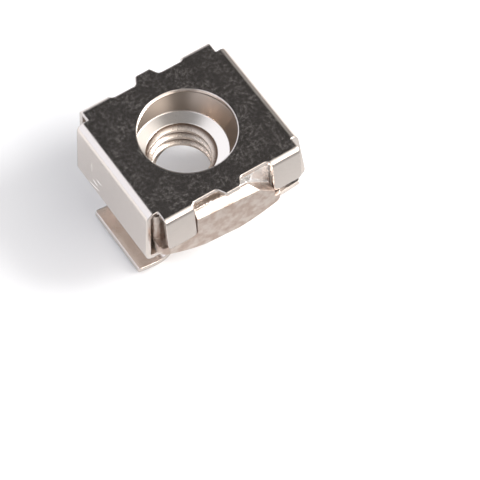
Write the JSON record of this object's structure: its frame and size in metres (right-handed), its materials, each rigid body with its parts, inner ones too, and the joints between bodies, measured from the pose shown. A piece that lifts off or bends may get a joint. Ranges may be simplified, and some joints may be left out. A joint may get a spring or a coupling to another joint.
{
  "type": "rack cage nut",
  "caption": "Square nut held loosely in a folded spring-steel cage whose two hooks clip into a square rack hole.",
  "frame": {"origin": "centre of the screw hole on the outer face of the cage plate", "axes": "+Z out of the cage plate along the hole axis, away from the hooks; spring legs at +X and -X; holding tabs at +Y and -Y"},
  "size_m": [0.0165, 0.0143, 0.0112],
  "materials": {
    "plated_spring_steel": "bright nickel plate on folded spring steel, finely scratched",
    "plated_nut_steel": "satin nickel plate on a cold-formed nut"
  },
  "bodies": {
    "root": {"spring_cage": "plated_spring_steel", "square_nut": "plated_nut_steel"}
  },
  "joints": []
}
